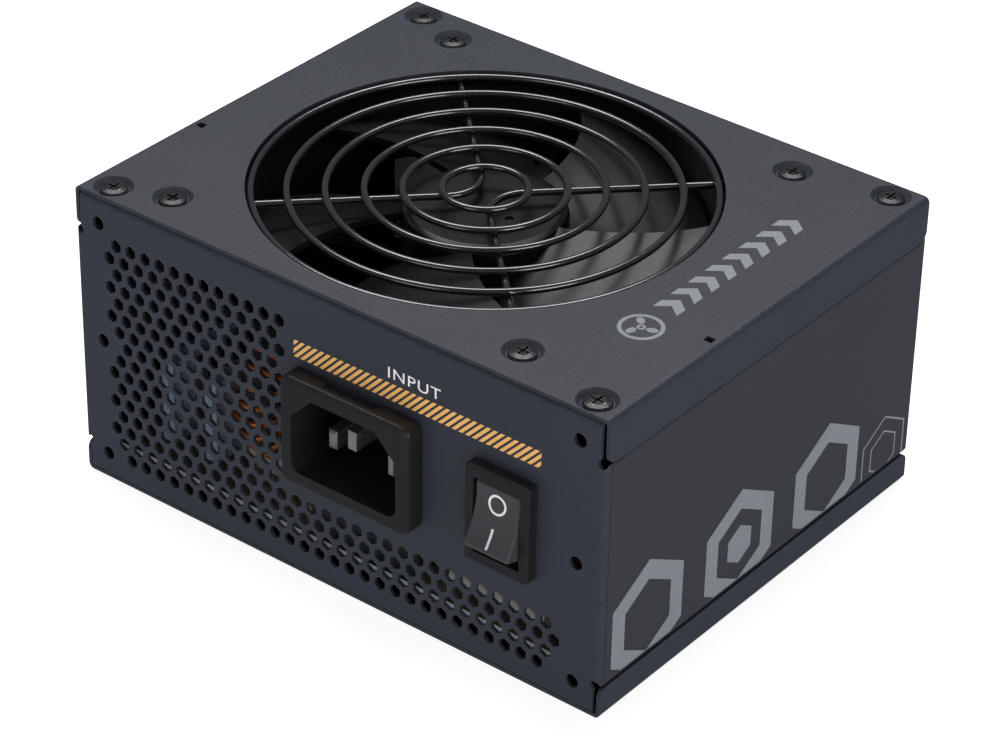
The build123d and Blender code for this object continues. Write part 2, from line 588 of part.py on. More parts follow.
def make_mains_fuse():
    glass = rod_x(-42, 11, 27, 43, 2.4)
    caps = rod_x(-42, 11, 24, 27, 2.7) + rod_x(-42, 11, 43, 46, 2.7)
    legs = box(25, 26, -42.4, -41.6, BOARD_TOP, 9) + box(44, 45, -42.4, -41.6, BOARD_TOP, 9)
    return glass + caps + legs


def make_bridge_rectifier():
    body = fillet(box(24, 46, -25.5, -21.5, 9.5, 27).edges().filter_by(Axis.Y), 0.8)
    legs = [box(x - 0.5, x + 0.5, -23.9, -23.1, BOARD_TOP, 9.5) for x in (27, 32.3, 37.6, 43)]
    for leg in legs:
        body += leg
    return body


def make_heatsinks():
    """Two aluminium plates with notched tops."""
    plates = []
    for x in HEATSINK_X:
        plate = box(x - 1.5, x + 1.5, -42, -8, BOARD_TOP, 26.5)
        plate += box(x - 1.5, x + 1.5, -24, -8, 26.4, 34)
        plates.append(plate - box(x - 2, x + 2, -42.5, -35, BOARD_TOP - 1, 8.5))
    return group(plates)


def make_transistors():
    bodies = []
    for x, side in ((HEATSINK_X[0] + 1.5, 1), (HEATSINK_X[1] - 1.5, -1)):
        for y in (-31, -16):
            body = box(*sorted((x, x + side * 3.4)), y - 5, y + 5, 11, 25)
            for dy in (-2.5, 0, 2.5):
                body += box(*sorted((x + side * 1.2, x + side * 1.9)), y + dy - 0.5, y + dy + 0.5, BOARD_TOP, 11)
            bodies.append(body)
    return group(bodies)


def make_pfc_choke():
    core = Pos(*PFC_AT, 13.6) * Torus(8.2, 4.0)
    loop = Rot(X=90) * Torus(4.75, 0.7)
    turns = [Pos(*PFC_AT, 13.6) * Rot(Z=360 / 20 * n) * Pos(8.2, 0, 0) * loop for n in range(20)]
    return core, group(turns)


def make_can(x, y, radius, height):
    """Electrolytic can with a rolled groove and a scored top."""
    z = BOARD_TOP
    can = revolved([(0, z), (radius, z), (radius, z + 2.2), (radius - 0.5, z + 2.7), (radius, z + 3.2),
                    (radius, z + height - 0.6), (radius - 0.6, z + height), (0, z + height)], x, y)
    top = z + height
    score = radius * 0.62
    can -= box(x - score, x + score, y - 0.2, y + 0.2, top - 0.3, top + 1)
    return can - box(x - 0.2, x + 0.2, y - score, y + score, top - 0.3, top + 1)


def make_bulk_capacitor():
    return make_can(40, -1, 15, 35.5)


def make_output_capacitors():
    cans = [make_can(14 + 9.2 * n, 30.5, 4, 17) for n in range(4)]
    return group(cans + [make_can(-26.8 + 9.2 * n, 31.2, 4, 14) for n in range(4)])


def make_transformer_core():
    core = box(-28, 4, 2, 22, 8.5, 33.5) - box(-22, -2, 1, 23, 13, 29)
    return core + box(-17, -7, 2, 22, 12.9, 29.1)


def make_transformer_winding():
    bobbin = fillet(box(-21.9, -2.1, -2.5, 26.5, 13.2, 28.8).edges().filter_by(Axis.Z), 5)
    bobbin -= box(-17.2, -6.8, 1.6, 22.4, 12.9, 29.1)
    legs = [box(x - 0.5, x + 0.5, y - 0.5, y + 0.5, BOARD_TOP, 13.3) for x in (-17, -12, -7) for y in (-0.5, 24.5)]
    for leg in legs:
        bobbin += leg
    return bobbin


def make_standby_transformer():
    core = box(12, 28, 10, 22, 8, 22.5)
    winding = fillet(box(14, 26, 7.6, 24.4, 9.5, 20.5).edges().filter_by(Axis.Z), 3)
    legs = [box(x - 0.5, x + 0.5, y - 0.5, y + 0.5, BOARD_TOP, 10) for x in (16, 24) for y in (9, 23)]
    for piece in (winding, *legs):
        core += piece
    return core


def make_rectifier_board():
    board = box(-33.6, -32, -4, 26, BOARD_TOP, 31)
    for y in (2, 12, 22):
        board += box(-32, -30.4, y - 3, y + 3, 14, 22)
    return board


# ---- modular sockets ----------------------------------------------------------------------


def socket_row(columns, start, z, gap):
    """Blocks (x0, x1, z) for connectors of the given column counts, side by side."""
    blocks, x = [], start
    for count in columns:
        width = count * SOCKET_PITCH + 1.2
        blocks.append((x, x + width, z))
        x += width + gap
    return blocks


def main_blocks():
    return socket_row((9, 5), -52.0, MAIN_ROW_Z, 2.0)


def drive_blocks():
    return socket_row((3, 3), 18.0, MAIN_ROW_Z, 3.4)


def processor_blocks():
    return socket_row((4, 4, 4, 4), -47.0, LOWER_ROW_Z, 7.0)


def socket_blocks():
    return main_blocks() + drive_blocks() + processor_blocks()


def socket_cells(block):
    """Centres of the cells of one block, two rows high."""
    x0, x1, z = block
    count = round((x1 - x0 - 1.2) / SOCKET_PITCH)
    return [(x0 + 0.6 + SOCKET_PITCH * (n + 0.5), z + dz) for n in range(count) for dz in (-2.1, 2.1)]


def make_sockets(blocks):
    solids = []
    for block in blocks:
        x0, x1, z = block
        body = box(x0, x1, SOCKET_BOARD_Y + 1.6, SOCKET_FACE, z - SOCKET_HALF_H, z + SOCKET_HALF_H)
        body = fillet(body.edges().filter_by(Axis.Y), 0.5)
        latch = box((x0 + x1) / 2 - 1.6, (x0 + x1) / 2 + 1.6, SOCKET_FACE - 3, SOCKET_FACE,
                    z + SOCKET_HALF_H - 0.9, z + SOCKET_HALF_H + 1)
        cells = [box(x - 1.7, x + 1.7, SOCKET_FACE - 9, SOCKET_FACE + 1, cz - 1.7, cz + 1.7)
                 for x, cz in socket_cells(block)]
        solids.append(body - latch - cells)
    return group(solids)


def make_socket_pins():
    back = SOCKET_FACE - 9
    return group([box(x - 0.55, x + 0.55, back, SOCKET_FACE - 1.5, z - 0.55, z + 0.55)
                  for block in socket_blocks() for x, z in socket_cells(block)])


def make_socket_board():
    return box(-BOARD_HALF, BOARD_HALF, SOCKET_BOARD_Y, SOCKET_BOARD_Y + 1.6, BOARD_TOP + 0.4, 43.5)


# ---- inner wiring -------------------------------------------------------------------------
def make_mains_wires():
    """Live lead to the switch, neutral lead to the board, switched lead to the board."""
    r = 1.1
    to_switch = wire([(-0.2, -29, 32.7), (-0.2, -19.5, 32.7), (9, -17.5, 35), (28, -19.5, 40),
                      (40.6, -25, 39.35), (40.6, -32, 39.35)], [4, 8, 14, 4], r)
    neutral = wire([(13.8, -29, 32.7), (13.8, -25, 32.7), (16.5, -24.6, 25), (19, -28.5, 15),
                    (19, -28.5, BOARD_TOP)], [2.2, 12, 12], r)
    switched = wire([(40.6, -32, 34.15), (40.6, -28, 34.15), (50, -27.5, 27), (52, -29, 15),
                     (52, -29, BOARD_TOP)], [2.2, 8, 18], r)
    return group([to_switch, neutral, switched])


def make_earth_wire():
    return wire([(6.8, -29, 36.8), (6.8, -25, 36.8), (-8, -24, 35.4), (-14, -33.5, 17),
                 (-14, -33.5, BOARD_TOP + SHEET)], [2.2, 7, 5], 1.1)


def make_earth_lug():
    x, y = EARTH_POST
    lug = rod(x, y, BOARD_TOP, BOARD_TOP + SHEET, 3.2) + box(x - 1.6, x + 1.6, y, -32, BOARD_TOP, BOARD_TOP + SHEET)
    return lug - rod(x, y, BOARD_TOP - 1, BOARD_TOP + 2, SCREW_R)


# ---- labels -------------------------------------------------------------------------------


def make_label(side):
    x = side * HALF_W
    return box(*sorted((x, x + side * LABEL_THICK)), -LABEL_HALF, LABEL_HALF, LABEL_LOW, LABEL_HIGH)


save("rear_wrap", make_rear_wrap())
save("top_cover", make_top_cover())
save("bottom_cover", make_bottom_cover())
save("socket_panel", make_socket_panel())
save("cover_screws", make_cover_screws())
save("base_screws", make_base_screws())
save("fan_screws", make_fan_screws())
save("panel_screws", make_panel_screws())
save("fan_guard", make_fan_guard())
save("fan_frame", make_fan_frame())
save("fan_rotor", make_fan_rotor())
save("fan_stator", make_fan_stator())
save("stator_windings", make_stator_windings())
save("rotor_magnet", make_rotor_magnet())
save("fan_board", make_fan_board())
save("fan_bearing", make_fan_bearing())
save("fan_shaft", make_fan_shaft())
save("fan_lead_red", fan_lead(1))
save("fan_lead_black", fan_lead(-1))
save("fan_plug", make_fan_plug())
save("fan_header", make_fan_header())
save("inlet_housing", make_inlet_housing())
save("inlet_line_pins", group([inlet_pin(*pin) for pin in PINS[:2]]))
save("inlet_earth_pin", inlet_pin(*PINS[2]))
save("switch_housing", make_switch_housing())
save("switch_rocker", make_rocker())
save("switch_plunger", make_switch_plunger())
save("plunger_spring", make_plunger_spring())
save("contact_lever", make_contact_lever())
save("switch_terminals", make_switch_terminals())
save("mains_wires", make_mains_wires())
save("earth_wire", make_earth_wire())
save("earth_lug", make_earth_lug())
save("main_board", make_main_board())
save("insulation_sheet", make_insulation_sheet())
save("standoffs", make_standoffs())
save("board_screws", make_board_screws())
save("line_choke_core", make_choke_core())
save("line_choke_winding", make_choke_winding())
save("line_choke_base", make_choke_base())
save("line_capacitors", make_line_capacitors())
save("mains_fuse", make_mains_fuse())
save("bridge_rectifier", make_bridge_rectifier())
save("heatsinks", make_heatsinks())
save("power_transistors", make_transistors())
boost_core, boost_turns = make_pfc_choke()
save("boost_choke_core", boost_core)
save("boost_choke_winding", boost_turns)
save("bulk_capacitor", make_bulk_capacitor())
save("output_capacitors", make_output_capacitors())
save("transformer_core", make_transformer_core())
save("transformer_winding", make_transformer_winding())
save("standby_transformer", make_standby_transformer())
save("rectifier_board", make_rectifier_board())
save("socket_board", make_socket_board())
save("main_sockets", make_sockets(main_blocks()))
save("drive_sockets", make_sockets(drive_blocks()))
save("processor_sockets", make_sockets(processor_blocks()))
save("socket_pins", make_socket_pins())
save("side_label", make_label(1))
save("rating_label", make_label(-1))
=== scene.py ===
# %% [markdown]
# # A small computer power supply
# A steel case about the size of a thick paperback holds a 92 mm fan, a mains inlet and a rocker
# switch. The shapes of the case, the fan and the parts inside come from the CAD frame. This lesson
# gives each of them its finish, adds the printed marks, and sets the camera and the lights.

import json
import math

import bmesh
import bpy
from mathutils import Matrix, Vector


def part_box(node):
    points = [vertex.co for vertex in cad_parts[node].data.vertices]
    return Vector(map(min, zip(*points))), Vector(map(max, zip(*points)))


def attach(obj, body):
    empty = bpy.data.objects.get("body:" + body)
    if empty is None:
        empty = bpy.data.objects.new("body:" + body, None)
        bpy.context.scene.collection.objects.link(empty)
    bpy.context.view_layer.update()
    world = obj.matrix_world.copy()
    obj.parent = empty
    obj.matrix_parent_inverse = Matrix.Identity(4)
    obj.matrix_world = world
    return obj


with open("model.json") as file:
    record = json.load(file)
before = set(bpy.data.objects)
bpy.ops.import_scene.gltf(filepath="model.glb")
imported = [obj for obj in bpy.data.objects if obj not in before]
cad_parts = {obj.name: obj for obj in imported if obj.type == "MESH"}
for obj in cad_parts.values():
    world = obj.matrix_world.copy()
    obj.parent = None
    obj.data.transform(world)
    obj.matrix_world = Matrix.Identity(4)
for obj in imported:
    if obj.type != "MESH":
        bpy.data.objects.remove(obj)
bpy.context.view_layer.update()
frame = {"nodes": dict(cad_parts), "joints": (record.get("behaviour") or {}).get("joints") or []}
nodes = frame["nodes"]
MM = 0.001


# %% [markdown]
# ## Camera
# A product picture of a box is taken from some distance with a long lens, so that upright edges
# stay almost parallel. A camera can be aimed with a Track To constraint, but that leaves no room
# for a slight roll. Here it is placed by its turn about the box, its height angle and its roll: its
# three axes are worked out as vectors and put straight into its matrix.

# %% Camera
CAMERA_TURN, CAMERA_RISE, CAMERA_ROLL = (math.radians(a) for a in (37.7532, 32.6641, 1.2277))
CAMERA_DISTANCE, CAMERA_DROP = 0.699668, -0.0062915
CAMERA_LENS, SENSOR_WIDTH = 131.79, 36

aim = Vector((0, 0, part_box("top_cover")[1].z / 2))
back = Vector((math.sin(CAMERA_TURN) * math.cos(CAMERA_RISE),
               -math.cos(CAMERA_TURN) * math.cos(CAMERA_RISE), math.sin(CAMERA_RISE)))
level = Vector((0, 0, 1)).cross(back).normalized()
upright = back.cross(level)
right = level * math.cos(CAMERA_ROLL) + upright * math.sin(CAMERA_ROLL)
up = upright * math.cos(CAMERA_ROLL) - level * math.sin(CAMERA_ROLL)

camera_data = bpy.data.cameras.new("camera")
camera_data.sensor_fit, camera_data.sensor_width = "HORIZONTAL", SENSOR_WIDTH
camera_data.lens = CAMERA_LENS
camera = bpy.data.objects.new("camera", camera_data)
camera.matrix_world = Matrix.Translation(aim + back * CAMERA_DISTANCE + up * CAMERA_DROP) \
    @ Matrix((right, up, back)).transposed().to_4x4()
bpy.context.scene.collection.objects.link(camera)
bpy.context.scene.camera = camera
print("camera at", [round(v, 3) for v in camera.matrix_world.translation])

# %% [markdown]
# ## Floor and light
# A catalogue picture stands the object on a white sweep under large soft boxes. The floor is a wide
# plane that also glows a little, so that it stays white right up to the soft shadow. Dark satin
# walls would mirror that glow and turn grey, so the floor is hidden from glossy reflections. One
# wide box hangs above and behind, and one stands off each side that faces the camera. Small lamps
# would be simpler, but only a large box draws a long bright line along a wire.

# %% Floor
FLOOR_HALF, FLOOR_COLOUR, FLOOR_GLOW = 3.0, (0.86, 0.86, 0.865, 1), 0.78


def wire_in(tree, socket, value):
    """Links an output to a socket, or gives the socket a plain value."""
    if isinstance(value, bpy.types.NodeSocket):
        tree.links.new(value, socket)
    else:
        socket.default_value = value


def feed(tree, node, **sockets):
    """Wires a node's sockets by name, with _ for each space."""
    for label, value in sockets.items():
        wire_in(tree, node.inputs[label.replace("_", " ")], value)
    return node


def new_material(name):
    """A plain node material, with its tree and its shader."""
    material = bpy.data.materials.new(name)
    material.use_nodes = True
    tree = material.node_tree
    return material, tree, tree.nodes["Principled BSDF"]


def add_floor():
    bm = bmesh.new()
    bmesh.ops.create_grid(bm, x_segments=1, y_segments=1, size=FLOOR_HALF)
    mesh = bpy.data.meshes.new("floor")
    bm.to_mesh(mesh)
    bm.free()
    floor = bpy.data.objects.new("floor", mesh)
    bpy.context.scene.collection.objects.link(floor)
    material, tree, shader = new_material("white_sweep")
    feed(tree, shader, Base_Color=FLOOR_COLOUR, Roughness=0.85, Specular_IOR_Level=0.1,
         Emission_Color=(1, 1, 1, 1), Emission_Strength=FLOOR_GLOW)
    mesh.materials.append(material)
    floor.visible_glossy = False


add_floor()
print("floor", 2 * FLOOR_HALF, "m wide")

# %% Light
SOFT_BOXES = {  # place and size in metres, then watts
    "overhead_box": ((-0.35, 0.35, 1.0), (0.9, 0.45), 8.6),
    "mains_side_box": ((0.05, -1.3, 0.5), (0.6, 0.6), 1.5),
    "label_side_box": ((1.3, -0.35, 0.55), (0.6, 0.6), 4.8),
}
STUDIO_COLOUR, STUDIO_STRENGTH = (0.92, 0.96, 1.0, 1), 0.15


def add_soft_box(name, place, size, watts):
    """An area light that faces the object."""
    light = bpy.data.lights.new(name, "AREA")
    light.shape, light.size, light.size_y = "RECTANGLE", size[0], size[1]
    light.energy = watts
    lamp = bpy.data.objects.new(name, light)
    lamp.location = Vector(place)
    lamp.rotation_euler = (aim - lamp.location).to_track_quat("-Z", "Y").to_euler()
    bpy.context.scene.collection.objects.link(lamp)


for box_name, (box_place, box_size, box_watts) in SOFT_BOXES.items():
    add_soft_box(box_name, box_place, box_size, box_watts)
world = bpy.data.worlds.new("studio")
bpy.context.scene.world = world
world.use_nodes = True
feed(world.node_tree, world.node_tree.nodes["Background"], Color=STUDIO_COLOUR,
     Strength=STUDIO_STRENGTH)
bpy.context.scene.view_settings.view_transform = "Standard"
print("lights", list(SOFT_BOXES))

# %% [markdown]
# ## Shared effects
# Four effects turn up in many of the finishes: a fine grain that roughens a surface, wear on the
# edges that also serves as a painted highlight, dust that settles on top, and slow changes of tone.
# Each could be wired afresh in every material.
# Instead each is built once as a node group with its own inputs, and a material places it with its
# own values. A few helpers add a node and wire it in one line.

# %% Helpers for node trees
def new_group(name, inputs, outputs):
    """A shader node group: inputs are {name: default}, outputs are {name: socket type}."""
    tree = bpy.data.node_groups.new(name, "ShaderNodeTree")
    for label, default in inputs.items():
        socket = tree.interface.new_socket(label, in_out="INPUT", socket_type="NodeSocketFloat")
        socket.default_value = default
    for label, kind in outputs.items():
        tree.interface.new_socket(label, in_out="OUTPUT", socket_type=kind)
    return tree, tree.nodes.new("NodeGroupInput"), tree.nodes.new("NodeGroupOutput")


def add(tree, kind, **sockets):
    """Adds a node and wires its sockets."""
    return feed(tree, tree.nodes.new(kind), **sockets)


def sums(tree, operation, first, second, third=None, clamp=False):
    """A Math node's result."""
    made = tree.nodes.new("ShaderNodeMath")
    made.operation, made.use_clamp = operation, clamp
    for socket, value in zip(made.inputs, (first, second, third)):
        if value is not None:
            wire_in(tree, socket, value)
    return made.outputs[0]


def remap(tree, value, low, high, to_low=0.0, to_high=1.0):
    """A Map Range node's result, held between its two ends."""
    made = add(tree, "ShaderNodeMapRange", Value=value, From_Min=low, From_Max=high,
               To_Min=to_low, To_Max=to_high)
    return made.outputs["Result"]


def object_place(tree):
    """Where a point lies on the object. Patterns that read it stay put on their piece."""
    return tree.nodes.new("ShaderNodeTexCoord").outputs["Object"]


def facing(tree, axis):
    """How far the surface faces along an axis: 1 along it, -1 against it."""
    normal = tree.nodes.new("ShaderNodeNewGeometry").outputs["Normal"]
    return add(tree, "ShaderNodeSeparateXYZ", Vector=normal).outputs[axis]


# %% [markdown]
# ### Grain
# Powder, nylon and ink all have a skin of tiny bumps. One noise alone looks too even, so two of
# different size are added. The finer one also goes out as a tone, to vary colour and roughness.

# %% Grain
WIDE_GRAIN, WIDE_SHARE = 0.31, 0.6


def build_grain():
    tree, ins, outs = new_group("surface_grain", {"Scale": 2500.0, "Softness": 0.5},
                                {"Height": "NodeSocketFloat", "Tone": "NodeSocketFloat"})
    place, scale = object_place(tree), ins.outputs["Scale"]
    fine = add(tree, "ShaderNodeTexNoise", Vector=place, Scale=scale, Detail=2.0,
               Roughness=ins.outputs["Softness"])
    wide = add(tree, "ShaderNodeTexNoise", Vector=place, Detail=1.0,
               Scale=sums(tree, "MULTIPLY", scale, WIDE_GRAIN))
    height = sums(tree, "MULTIPLY_ADD", wide.outputs["Fac"], WIDE_SHARE, fine.outputs["Fac"])
    feed(tree, outs, Height=height, Tone=fine.outputs["Fac"])
    return tree


grain_group = build_grain()

# %% [markdown]
# ### Edge wear and painted edge highlights
# Hands and tools rub the sharp edges first. A Bevel node gives the normal that a rounded edge would
# have. Where it disagrees with the flat normal there is an edge, and a noise breaks that line up.
# The paler edges that the mask gives are partly wear and partly a painted highlight.

# %% Edge wear and painted highlight
EDGE_BEGINS, EDGE_FULL = 0.985, 0.86


# The mask marks edge wear and the painted highlight on edges.
def build_edge_wear_and_highlight():
    tree, ins, outs = new_group("edge_wear_and_highlight", {"Radius": 0.0003, "Amount": 1.0},
                                {"Mask": "NodeSocketFloat"})
    rounded = add(tree, "ShaderNodeBevel", Radius=ins.outputs["Radius"])
    rounded.samples = 4
    agree = tree.nodes.new("ShaderNodeVectorMath")
    agree.operation = "DOT_PRODUCT"
    wire_in(tree, agree.inputs[0], rounded.outputs["Normal"])
    wire_in(tree, agree.inputs[1], tree.nodes.new("ShaderNodeNewGeometry").outputs["Normal"])
    edge = remap(tree, agree.outputs["Value"], EDGE_BEGINS, EDGE_FULL)
    patch = add(tree, "ShaderNodeTexNoise", Vector=object_place(tree), Scale=140.0, Detail=4.0)
    broken = remap(tree, patch.outputs["Fac"], 0.42, 0.62, 0.25, 1.0)
    worn_and_lit = sums(tree, "MULTIPLY", edge, broken)
    feed(tree, outs, Mask=sums(tree, "MULTIPLY", worn_and_lit, ins.outputs["Amount"], clamp=True))
    return tree


edge_wear_and_highlight_group = build_edge_wear_and_highlight()

# %% [markdown]
# ### Dust
# Dust falls, so it lies on whatever faces up: a thin patchy veil and a few specks. Both are noises,
# cut off at a threshold and kept only where the surface's normal points upwards.

# %% Dust
VEIL_SHARE = 0.25


def build_dust():
    tree, ins, outs = new_group("dust", {"Amount": 0.3}, {"Mask": "NodeSocketFloat"})
    place = object_place(tree)
    upward = remap(tree, facing(tree, "Z"), 0.2, 1.0)
    veil = add(tree, "ShaderNodeTexNoise", Vector=place, Scale=60.0, Detail=6.0)
    specks = add(tree, "ShaderNodeTexNoise", Vector=place, Scale=1900.0, Detail=1.0)
    cover = sums(tree, "MULTIPLY_ADD", remap(tree, veil.outputs["Fac"], 0.4, 0.75), VEIL_SHARE,
                 remap(tree, specks.outputs["Fac"], 0.70, 0.76))
    lying = sums(tree, "MULTIPLY", cover, upward)
    feed(tree, outs, Mask=sums(tree, "MULTIPLY", lying, ins.outputs["Amount"], clamp=True))
    return tree


dust_group = build_dust()

# %% [markdown]
# ### Tone
# No coat is equally dark all over. A wide, soft noise gives a factor just above or below 1, and a
# finish multiplies its colour by it.

# %% Tone
def build_tone():
    tree, ins, outs = new_group("slow_tone", {"Scale": 25.0, "Spread": 0.1},
                                {"Factor": "NodeSocketFloat"})
    cloud = add(tree, "ShaderNodeTexNoise", Vector=object_place(tree), Detail=5.0,
                Scale=ins.outputs["Scale"])
    centred = sums(tree, "SUBTRACT", cloud.outputs["Fac"], 0.5)
    feed(tree, outs, Factor=sums(tree, "MULTIPLY_ADD", centred, ins.outputs["Spread"], 1.0))
    return tree


tone_group = build_tone()
print("groups", [g.name for g in bpy.data.node_groups])

# %% [markdown]
# ### Putting a finish together
# Almost every finish starts in the same way, with a grain and a slow tone. Its roughness then runs
# from one value to another as the grain does, and its normal is bumped by the grain's height.

# %% Helpers for finishes
GRAIN_DARK, GRAIN_LIGHT = 0.3, 0.7
DUST_COLOUR = (0.35, 0.35, 0.34, 1)


def place_group(tree, group, **values):
    """Places a shared effect in a material and returns its outputs."""
    made = tree.nodes.new("ShaderNodeGroup")
    made.node_tree = group
    return feed(tree, made, **values).outputs


def start_finish(name, grain_scale, softness, tone_scale, tone_spread):
    """A new material with its grain and its slow tone in place."""
    material, tree, shader = new_material(name)
    grain = place_group(tree, grain_group, Scale=grain_scale, Softness=softness)
    tone = place_group(tree, tone_group, Scale=tone_scale, Spread=tone_spread)["Factor"]
    return material, tree, shader, grain, tone


def by_grain(tree, grain, low, high):
    """A value that runs from low to high as the grain does."""
    return remap(tree, grain["Tone"], GRAIN_DARK, GRAIN_LIGHT, low, high)


def blend(tree, mask, below, above):
    """Colour below where the mask is 0, colour above where it is 1."""
    made = tree.nodes.new("ShaderNodeMix")
    made.data_type = "RGBA"
    return feed(tree, made, Factor=mask, A=below, B=above).outputs["Result"]


def scaled(tree, colour, factor):
    """A colour made lighter or darker by a factor."""
    made = tree.nodes.new("ShaderNodeVectorMath")
    made.operation = "SCALE"
    wire_in(tree, made.inputs[0], colour)
    wire_in(tree, made.inputs["Scale"], factor)
    return made.outputs["Vector"]


def bumped(tree, shader, height, depth, strength):
    """Bumps the shader's normal by a height, to a depth in metres."""
    made = add(tree, "ShaderNodeBump", Height=height, Distance=depth, Strength=strength)
    tree.links.new(made.outputs["Normal"], shader.inputs["Normal"])


def coat(names, material):
    """Gives a material to CAD pieces."""
    for name in names:
        mesh = nodes[name].data
        mesh.materials.clear()
        mesh.materials.append(material)


# %% [markdown]
# ## The case: textured powder coat
# The folded steel is sprayed with dry powder and baked, which leaves a satin skin with a fine
# orange peel. The peel could be modelled, but at this size a bump does the same for far fewer
# faces. The colour is a dark blue grey. The coat is thinner and a little paler along the bends
# and the cut edges, and that paler band is also a painted highlight. A trace of dust lies on top.

# %% Powder coat
COAT_COLOUR, COAT_THIN_EDGE_AND_HIGHLIGHT = (0.035, 0.039, 0.056), (0.085, 0.090, 0.115, 1)


def make_powder_coat():
    material, tree, shader, grain, tone = start_finish("powder_coat", 3200.0, 0.55, 30.0, 0.16)
    edge = place_group(tree, edge_wear_and_highlight_group, Radius=0.00035, Amount=0.55)["Mask"]
    dust = place_group(tree, dust_group, Amount=0.05)["Mask"]
    speckled = sums(tree, "MULTIPLY", tone, by_grain(tree, grain, 0.70, 1.35))
    # Bends and cut edges turn paler: a thinner coat, and a painted highlight.
    colour = blend(tree, edge, scaled(tree, COAT_COLOUR, speckled), COAT_THIN_EDGE_AND_HIGHLIGHT)
    rough = sums(tree, "MULTIPLY_ADD", dust, 0.3, by_grain(tree, grain, 0.40, 0.56))
    feed(tree, shader, Base_Color=blend(tree, dust, colour, DUST_COLOUR), Roughness=rough,
         Specular_IOR_Level=0.45)
    bumped(tree, shader, grain["Height"], 0.00008, 0.9)
    return material


coat(("rear_wrap", "top_cover", "bottom_cover", "socket_panel"), make_powder_coat())
print("powder coat on the case")

# %% [markdown]
# ## Labels on the sides
# A satin film covers each side wall. It is smoother than the powder coat, so its edge can just be
# seen. The film is a CAD piece of its own, so it needs no mask: the same recipe with a much finer
# grain and almost no bump is enough.

# %% Label film
FILM_COLOUR = (0.037, 0.039, 0.050)


def make_label_film():
    material, tree, shader, grain, tone = start_finish("label_film", 5200.0, 0.4, 18.0, 0.10)
    feed(tree, shader, Base_Color=scaled(tree, FILM_COLOUR, tone),
         Roughness=by_grain(tree, grain, 0.40, 0.50))
    bumped(tree, shader, grain["Height"], 0.00001, 0.5)
    return material


coat(("side_label", "rating_label"), make_label_film())
print("film on both side walls")

# %% [markdown]
# ## Black screws and the wire guard
# The screws are steel with a black zinc finish, rubbed bright where the driver bites, so the edge
# wear drives the metal as well as the colour. The guard is welded wire under a smooth gloss coat.
# It mirrors the lights in long thin lines, which only a low roughness and a clear coat can give.

# %% Screw and guard finishes
ZINC_BLACK, ZINC_RUBBED = (0.030, 0.030, 0.033, 1), (0.42, 0.42, 0.43, 1)
GUARD_BLACK, GUARD_DUST = (0.012, 0.012, 0.0135), (0.3, 0.3, 0.3, 1)


def make_black_zinc():
    material, tree, shader = new_material("black_zinc")
    grain = place_group(tree, grain_group, Scale=2600.0, Softness=0.5)
    edge = place_group(tree, edge_wear_and_highlight_group, Radius=0.00018, Amount=1.0)["Mask"]
    feed(tree, shader, Base_Color=blend(tree, edge, ZINC_BLACK, ZINC_RUBBED),
         Roughness=by_grain(tree, grain, 0.22, 0.42),
         Metallic=remap(tree, edge, 0.0, 1.0, 0.55, 1.0))
    bumped(tree, shader, grain["Height"], 0.00002, 0.5)
    return material


def make_guard_gloss():
    material, tree, shader, grain, tone = start_finish("guard_gloss", 1800.0, 0.5, 90.0, 0.2)
    dust = place_group(tree, dust_group, Amount=0.03)["Mask"]
    feed(tree, shader, Base_Color=blend(tree, dust, scaled(tree, GUARD_BLACK, tone), GUARD_DUST),
         Roughness=by_grain(tree, grain, 0.17, 0.21), Specular_IOR_Level=0.9, Coat_Weight=0.8,
         Coat_Roughness=0.12)
    bumped(tree, shader, grain["Height"], 0.000004, 0.2)
    return material


coat(("cover_screws", "base_screws", "fan_screws", "panel_screws"), make_black_zinc())
coat(("fan_guard",), make_guard_gloss())
print("screws and guard")

# %% [markdown]
# ## Moulded parts
# The fan is moulded in a semi-gloss black. The inlet, the switch and the sockets are a matt black
# nylon with a spark-eroded skin. Epoxy, tape, ferrite and fuse ceramic inside the case have the
# same build-up: a colour, a grain and slightly paler edges, partly wear and partly a painted
# highlight, strongest on the nylon. So one recipe makes them all, and a table gives each its own
# colour, roughness and grain.

# %% Moulded finishes
EDGE_GAIN, EDGE_LIFT, ROUGH_SPREAD = 2.0, 0.015, 0.06


def make_moulded(name, colour, rough, grain_scale, grain_depth, wear=0.35, dusty=0.06, gloss=0.5):
    material, tree, shader, grain, tone = start_finish(name, grain_scale, 0.55, 45.0, 0.2)
    edge = place_group(tree, edge_wear_and_highlight_group, Radius=0.00022, Amount=wear)["Mask"]
    dust = place_group(tree, dust_group, Amount=dusty)["Mask"]
    # Paler edges: partly wear, partly a painted highlight.
    lit_edge_colour = tuple(min(1.0, c * EDGE_GAIN + EDGE_LIFT) for c in colour) + (1,)
    worn_and_lit = blend(tree, edge, scaled(tree, colour, tone), lit_edge_colour)
    feed(tree, shader, Base_Color=blend(tree, dust, worn_and_lit, DUST_COLOUR), Specular_IOR_Level=gloss,
         Roughness=by_grain(tree, grain, rough - ROUGH_SPREAD, rough + ROUGH_SPREAD))
    bumped(tree, shader, grain["Height"], grain_depth, 0.6)
    return material
